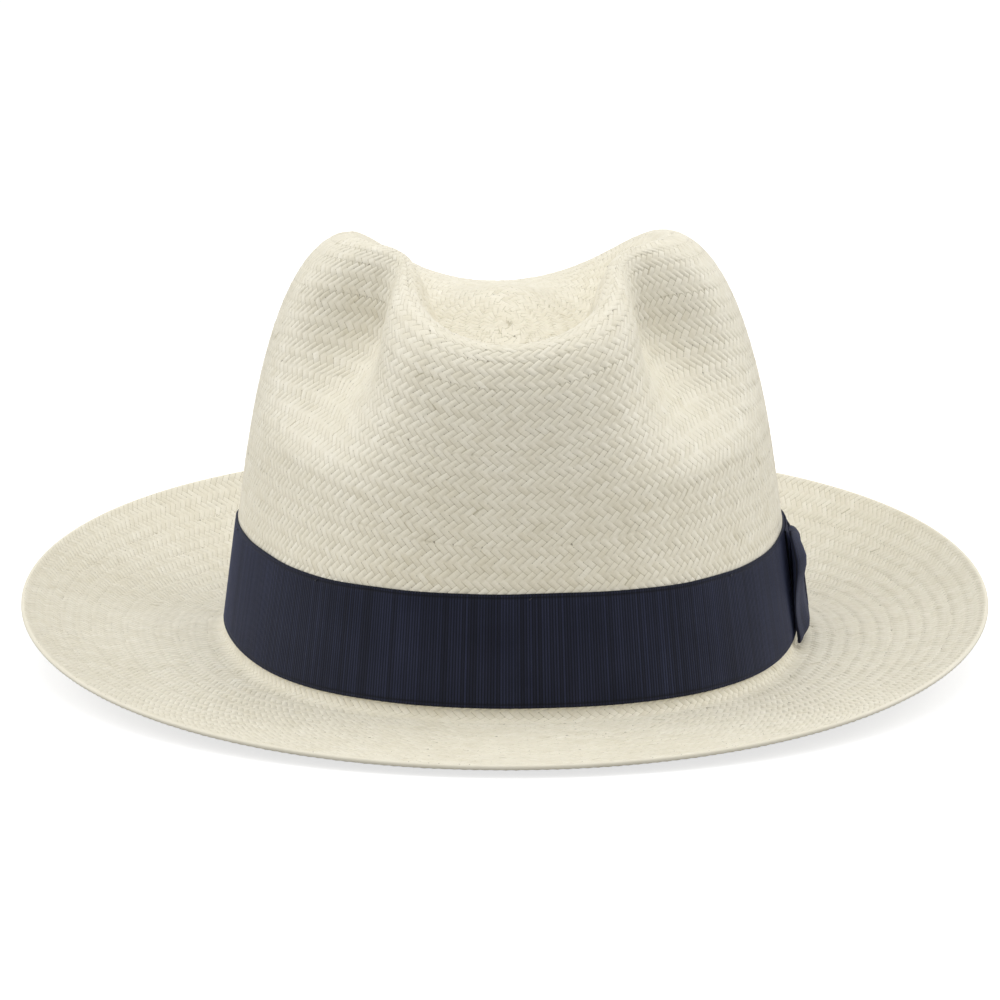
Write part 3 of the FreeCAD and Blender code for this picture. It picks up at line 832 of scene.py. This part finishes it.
def bow_knot():
    waist = drawn_in(knot_width / 2.0, bow_half_length, bow_waist)
    top = bow_high - waist - bow_drop / 2.0
    lines = path_frame(wrap_path(bow_low + waist, top, knot_inner, knot_outer))

    def place(along, across, out):
        height, offset = on_path(lines, along, out)
        middle = across - knot_width / 2.0
        narrow = 1.0 - knot_pinch * np.exp(-((height - knot_pinch_level) / knot_pinch_spread) ** 2)
        outside = offset > (knot_inner + knot_outer) / 2.0
        crown = knot_crown * np.cos(math.pi * middle / knot_width)
        beside = middle - crease_side - crease_slant * height
        crease = crease_depth * np.exp(-(beside / crease_width) ** 2)
        return bow_place(bow_angle, middle * narrow, height, offset + (crown - crease) * outside)

    return grosgrain("bow_knot_wrap", place, lines[0][-1], knot_width, bow_cloth, closed=True)


def bow_tail():
    width = ribbon_height - tail_narrower
    length = tail_front + tail_back

    def place(along, across, out):
        below = 1.0 - across / width
        share = along / length
        distance = share * (length - tail_slant * below) - tail_front
        flare = tail_flare * smooth((share - tail_flare_start) / (1.0 - tail_flare_start)) * below
        offset = tail_offset + bow_cloth / 2.0 + out + flare
        return bow_place(bow_angle, distance, tail_start + across, offset)

    return grosgrain("bow_tail_strip", place, length, width, bow_cloth)


def leather_band():
    along = np.linspace(leather_end_gap, 2.0 * math.pi - leather_end_gap, 720)
    across = edge_steps(leather_width, leather_step)
    inward = np.minimum(across, leather_width - across)
    rounding = np.sqrt(np.clip(inward / leather_rounding, 0.0, 1.0))
    half = leather_thickness / 2.0
    edge = half * (leather_edge_share + (1.0 - leather_edge_share) * rounding)
    face = np.repeat(edge[None, :], len(along), axis=0)

    def place(angle, across_here, out):
        up = across_here / leather_width
        wave = up ** 2 * (leather_lift + waves(angle, leather_waves))
        offset = -(leather_offset + half) + out - wave
        return side_point(math.pi + angle, leather_start + across_here, offset)

    return strip("leather_sweatband", place, along, across, face, face, False)


def threads(name, starts, finishes, radius, rise):
    """Separate stitches: each is a rounded thread that rises a little between its two ends."""
    sides, rows = 8, 7
    bluntness, end_share = 4, 0.02
    starts, finishes, rise = (np.asarray(each, float) for each in (starts, finishes, rise))
    share = np.linspace(0.0, 1.0, rows)
    taper = np.sqrt(np.clip(1.0 - np.abs(2.0 * share - 1.0) ** bluntness, end_share, 1.0))
    direction = unit(finishes - starts)
    lift = unit(rise)
    sideways = np.cross(direction, lift)
    middle = starts[:, None] + (finishes - starts)[:, None] * share[None, :, None]
    middle = middle + rise[:, None] * np.sin(math.pi * share)[None, :, None]
    turn = np.arange(sides) * 2.0 * math.pi / sides
    cosine, sine = np.cos(turn)[None, :, None], np.sin(turn)[None, :, None]
    circle = lift[:, None, :] * cosine + sideways[:, None, :] * sine
    points = middle[:, :, None, :] + radius * taper[None, :, None, None] * circle[:, None, :, :]
    base = np.arange(len(starts)) * rows * sides
    faces = []
    for row in range(rows - 1):
        quad = ring_quads(row * sides, (row + 1) * sides, sides)
        faces.append((base[:, None, None] + quad[None]).reshape(-1, 4))
    for ends, flip in ((0, -1), ((rows - 1) * sides, 1)):
        cap = (ends + np.arange(sides))[::flip]
        faces.append(base[:, None] + cap[None])
    return mesh_object(name, points.reshape(-1, 3), faces)


# ---------------------------------------------------------------- materials

class Shader:
    """A node material under construction."""

    def __init__(self, name):
        self.material = bpy.data.materials.new(name)
        self.material.use_nodes = True
        self.tree = self.material.node_tree
        self.surface = self.tree.nodes["Principled BSDF"]

    def link(self, value, socket):
        if isinstance(value, bpy.types.NodeSocket):
            self.tree.links.new(value, socket)
        else:
            socket.default_value = value

    def node(self, kind, settings=None, **inputs):
        made = self.tree.nodes.new("ShaderNode" + kind)
        for key, value in (settings or {}).items():
            setattr(made, key, value)
        for key, value in inputs.items():
            socket = made.inputs[int(key[1:])] if key[1:].isdigit() else made.inputs[key.replace("_", " ")]
            self.link(value, socket)
        return made

    def math(self, operation, first, second=0.0, clamp=False):
        made = self.node("Math", {"operation": operation, "use_clamp": clamp}, i0=first, i1=second)
        return made.outputs[0]

    def mix(self, share, first, second, blend="MIX"):
        made = self.node("Mix", {"data_type": "RGBA", "blend_type": blend}, i0=share, i6=first, i7=second)
        return made.outputs[2]

    def ramp(self, value, low, high, low_out=0.0, high_out=1.0):
        made = self.node("MapRange", None, Value=value, From_Min=low, From_Max=high, To_Min=low_out,
                         To_Max=high_out)
        return made.outputs[0]

    def spread(self, noise, low_out=0.0, high_out=1.0):
        """The usual range of a noise, drawn out to the given range."""
        return self.ramp(noise, *noise_range, low_out, high_out)

    def attribute(self, name):
        return self.node("Attribute", {"attribute_name": name}).outputs["Fac"]

    def noise(self, vector, scale, detail=2.0):
        return self.node("TexNoise", None, Vector=vector, Scale=scale, Detail=detail).outputs[0]

    def stretched(self, source, scale):
        return self.node("Mapping", None, Vector=source, Scale=scale).outputs[0]

    def uv(self, name):
        return self.node("UVMap", {"uv_map": name}).outputs[0]

    def place(self):
        return self.node("TexCoord").outputs["Object"]

    def bump(self, height, strength, distance):
        made = self.node("Bump", None, Strength=strength, Distance=distance, Height=height)
        self.tree.links.new(made.outputs[0], self.surface.inputs["Normal"])

    def set(self, **inputs):
        for key, value in inputs.items():
            self.link(value, self.surface.inputs[key.replace("_", " ")])


def colour(red, green, blue):
    """Colour from screen values between 0 and 255."""
    screen = [each / 255.0 for each in (red, green, blue)]
    light = [each / 12.92 if each <= 0.04045 else ((each + 0.055) / 1.055) ** 2.4 for each in screen]
    return (*light, 1.0)


def straw_material():
    made = Shader("toquilla_straw")
    weave = made.uv("weave")
    turned = made.node("VectorRotate", {"rotation_type": "Z_AXIS"}, Vector=weave,
                       Angle=math.radians(45.0)).outputs[0]
    lengthwise, crosswise = 0.7, 9.0
    right = made.noise(made.stretched(turned, (lengthwise, crosswise, 1.0)), 1.0, 3.0)
    left = made.noise(made.stretched(turned, (crosswise, lengthwise, 1.0)), 1.0, 3.0)
    fibre = made.node("Mix", {"data_type": "FLOAT"}, i0=made.attribute("lean"), i2=left, i3=right).outputs[0]
    patch = made.noise(made.place(), 22.0, 3.0)
    mottle = made.noise(made.place(), 160.0, 2.0)
    tone = made.math("ADD", made.math("MULTIPLY", made.attribute("tone"), 0.10), 0.5)
    tone = made.math("ADD", tone, made.spread(patch, -0.12, 0.12))
    tone = made.math("ADD", tone, made.spread(mottle, -0.10, 0.10))
    tone = made.math("ADD", tone, made.spread(fibre, -0.22, 0.22), clamp=True)
    straw = made.mix(tone, colour(*straw_shade), colour(*straw_light))
    # Painted shade: the low places of the weave, at the floats' edges and ends, are mixed toward the darker
    # gap colour.
    gap_shade = made.ramp(made.attribute("height"), 0.0, float_end_height)
    straw = made.mix(gap_shade, colour(*straw_gap_shade), straw)
    # Painted shade: small holes in the weave are filled with a dark brown that stands in for the shade seen
    # through them.
    made.set(Base_Color=made.mix(made.attribute("hole"), straw, colour(*straw_hole_shade)),
             Roughness=made.spread(fibre, 0.50, 0.40), Specular_IOR_Level=0.45)
    made.bump(fibre, 0.4, 0.00005)
    return made.material


def grosgrain_material(name):
    made = Shader(name)
    cloth = made.uv("cloth")
    fine = made.noise(made.stretched(cloth, (3.0, 7.0, 1.0)), 1.0, 2.0)
    broad = made.noise(made.place(), 60.0, 3.0)
    # Painted shade: the rib value darkens the navy in the valleys between ribs, in the selvage groove and
    # along the edges, with a random tone per rib.
    rib = made.attribute("rib")
    rib_shade_and_tone = made.ramp(rib, 0.0, 1.0, 0.15, 1.55)
    shade = made.math("MULTIPLY", rib_shade_and_tone, made.ramp(fine, 0.25, 0.75, 0.6, 1.35))
    navy = made.mix(made.spread(broad), colour(*navy_dark), colour(*navy_light))
    grey = made.node("CombineColor", None, Red=shade, Green=shade, Blue=shade).outputs[0]
    made.set(Base_Color=made.mix(1.0, navy, grey, "MULTIPLY"),
             Roughness=0.66, Specular_IOR_Level=0.18, Sheen_Weight=0.22, Sheen_Roughness=0.45,
             Sheen_Tint=colour(*navy_sheen))
    made.bump(fine, 0.4, 0.00012)
    return made.material


def cloth_material(name, base, dark):
    """Plain woven tape or thread: fine crossing threads."""
    made = Shader(name)
    place = made.place()
    rows = made.node("TexWave", {"wave_type": "BANDS", "bands_direction": "Z"}, Vector=place,
                     Scale=900.0, Distortion=1.5, Detail=1.0).outputs[1]
    grain = made.noise(place, 700.0, 2.0)
    mixed = made.math("MULTIPLY", rows, grain)
    made.set(Base_Color=made.mix(made.ramp(mixed, 0.05, 0.5), dark, base), Roughness=0.85, Sheen_Weight=0.3)
    made.bump(mixed, 0.5, 0.0001)
    return made.material


def leather_material():
    made = Shader("tan_leather")
    place = made.place()
    cells = made.node("TexVoronoi", {"feature": "DISTANCE_TO_EDGE"}, Vector=place, Scale=900.0).outputs[0]
    grain = made.ramp(cells, 0.0, 0.25)
    broad = made.noise(place, 45.0, 4.0)
    hide = made.mix(made.spread(broad), colour(*hide_dark), colour(*hide_light))
    made.set(Base_Color=made.mix(made.ramp(grain, 0.0, 0.5, 0.25, 0.0), hide, colour(*hide_groove)),
             Roughness=made.spread(broad, 0.42, 0.58), Specular_IOR_Level=0.4)
    made.bump(grain, 0.35, 0.00008)
    return made.material


# ---------------------------------------------------------------- the hat

def put_on(piece, material, replaced, rides=True):
    piece.data.materials.append(material)
    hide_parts(*replaced)
    if rides:
        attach(piece, HAT)


def stitched_ring():
    """Machine stitches round the sweatband's lower edge."""
    pitch = 2.0 * math.pi / band_stitches
    start = math.pi + (np.arange(band_stitches) + band_stitch_start) * pitch
    finish = start + band_stitch_share * pitch
    starts = side_point(start, band_stitch_height, band_stitch_offset)
    finishes = side_point(finish, band_stitch_height, band_stitch_offset)
    outward = unit(starts * (1.0, 1.0, 0.0))
    return threads("sweatband_stitch_row", starts, finishes, band_thread, -outward * thread_rise)


def ribbon_tack_stitches():
    """Short tacks across the ribbon's upper edge."""
    angles = np.radians([angle for angle in tack_angles if abs(angle - bow_angle) > tack_bow_distance])
    starts = side_point(angles - tack_half_angle, ribbon_height - tack_low, tack_offset)
    finishes = side_point(angles + tack_half_angle, ribbon_height - tack_high, tack_offset)
    outward = unit(starts * (1.0, 1.0, 0.0))
    return threads("ribbon_tack_stitches", starts, finishes, tack_thread, outward * thread_rise)


def sweatband_bow():
    path = loop_path(small_bow_half_length, small_bow_inner, small_bow_outer, small_bow_middle_share, 1.0)
    lines = path_frame(path)

    def loop_place(along, across, out):
        distance, offset = on_path(lines, along, out)
        squeeze = 1.0 - small_bow_pinch * np.exp(-(distance / small_bow_pinch_spread) ** 2)
        height = small_bow_level + (across - small_bow_width / 2.0) * squeeze
        return bow_place(small_bow_angle, distance, height, -offset)

    wrap = wrap_path(small_knot_low, small_knot_high, small_knot_inner, small_knot_outer)
    knot_lines = path_frame(wrap)

    def knot_place(along, across, out):
        height, offset = on_path(knot_lines, along, out)
        return bow_place(small_bow_angle, across - small_knot_width / 2.0, height, -offset)

    loops = grosgrain("sweatband_bow_pair", loop_place, lines[0][-1], small_bow_width, small_bow_cloth,
                      closed=True)
    knot = grosgrain("sweatband_bow_wrap", knot_place, knot_lines[0][-1], small_knot_width, small_bow_cloth,
                     closed=True)
    return loops, knot


def build_hat():
    straw = straw_material()
    crown, brim = woven_straw()
    put_on(crown, straw, ["woven_body"])
    put_on(brim, straw, ["woven_body", "front_brim"], rides=False)
    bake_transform(brim)
    navy = grosgrain_material("navy_grosgrain")
    for make in (hat_ribbon, bow_loops, bow_knot, bow_tail):
        put_on(make(), navy, [make.__name__])
    navy_thread = cloth_material("navy_thread", colour(34, 38, 54), colour(14, 16, 24))
    put_on(ribbon_tack_stitches(), navy_thread, ["ribbon_tacks"])
    put_on(leather_band(), leather_material(), ["sweatband"])
    cream = cloth_material("cream_cotton", colour(226, 217, 192), colour(160, 148, 118))
    put_on(stitched_ring(), cream, ["sweatband_stitching"])
    pair, wrap = sweatband_bow()
    put_on(pair, cream, ["sweatband_bow_loops"])
    put_on(wrap, cream, ["sweatband_bow_knot"])
    white_tag = cloth_material("tag_weave", colour(238, 238, 232), colour(196, 196, 188))
    cord = cloth_material("reed_cord", colour(214, 206, 188), colour(150, 142, 124))
    finishes = {
        "navy_thread": navy_thread, "cream_tape": cream, "cream_thread": cream,
        "tag_cloth": white_tag, "reed_cord": cord,
    }
    slots = {each["node"]: each["material_slot"] for each in frame["record"]["subparts"]}
    for name, node in frame["nodes"].items():
        if not node.hide_render:
            node.data.materials.clear()
            node.data.materials.append(finishes[slots[name]])


# ---------------------------------------------------------------- scene

def aimed(name, data, place, target):
    """Light or camera at a place, turned to a target."""
    made = bpy.data.objects.new(name, data)
    made.location = place
    made.rotation_euler = (Vector(target) - Vector(place)).to_track_quat("-Z", "Y").to_euler()
    bpy.context.scene.collection.objects.link(made)
    return made


def area_light(name, place, target, size, power):
    data = bpy.data.lights.new(name, "AREA")
    data.size = size
    data.energy = power
    aimed(name, data, place, target)


def studio():
    low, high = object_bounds()
    centre = (low + high) / 2.0
    bpy.ops.mesh.primitive_plane_add(size=floor_size, location=(centre.x, centre.y, low.z - floor_gap))
    floor = bpy.context.object
    floor.name = "floor"
    paper = Shader("pale_floor")
    grain = paper.noise(paper.place(), 30.0, 2.0)
    seen = paper.node("LightPath").outputs["Is Camera Ray"]
    paper.set(Base_Color=paper.mix(grain, colour(186, 186, 186), colour(190, 190, 190)), Roughness=0.9,
              Specular_IOR_Level=0.1, Emission_Color=colour(255, 255, 255),
              Emission_Strength=paper.math("MULTIPLY", seen, floor_glow))
    floor.data.materials.append(paper.material)
    world = bpy.data.worlds.new("soft_white")
    world.use_nodes = True
    sky = world.node_tree.nodes["Background"]
    sky.inputs["Color"].default_value = (1.0, 1.0, 1.0, 1.0)
    sky.inputs["Strength"].default_value = world_glow
    bpy.context.scene.world = world
    area_light("top_softbox", (centre.x, centre.y, top_height), centre, top_size, top_power)
    for name, side in (("left_softbox", 1.0), ("right_softbox", -1.0)):
        place = (side * side_distance, centre.y + side_behind, side_height)
        area_light(name, place, centre, side_size, side_power)


def camera():
    """Long lens 12 degrees above the brim, a little toward the wearer's right of the hat's nose."""
    height_angle = math.radians(camera_up)
    side_angle = math.radians(camera_side)
    data = bpy.data.cameras.new("camera")
    data.sensor_width = camera_sensor
    data.lens = camera_lens
    level = math.cos(height_angle)
    back = Vector((-math.sin(side_angle) * level, -math.cos(side_angle) * level, math.sin(height_angle)))
    bpy.context.scene.camera = aimed("camera", data, back * camera_distance, camera_target)


build_hat()
studio()
camera()
bpy.context.scene.view_settings.view_transform = "Standard"
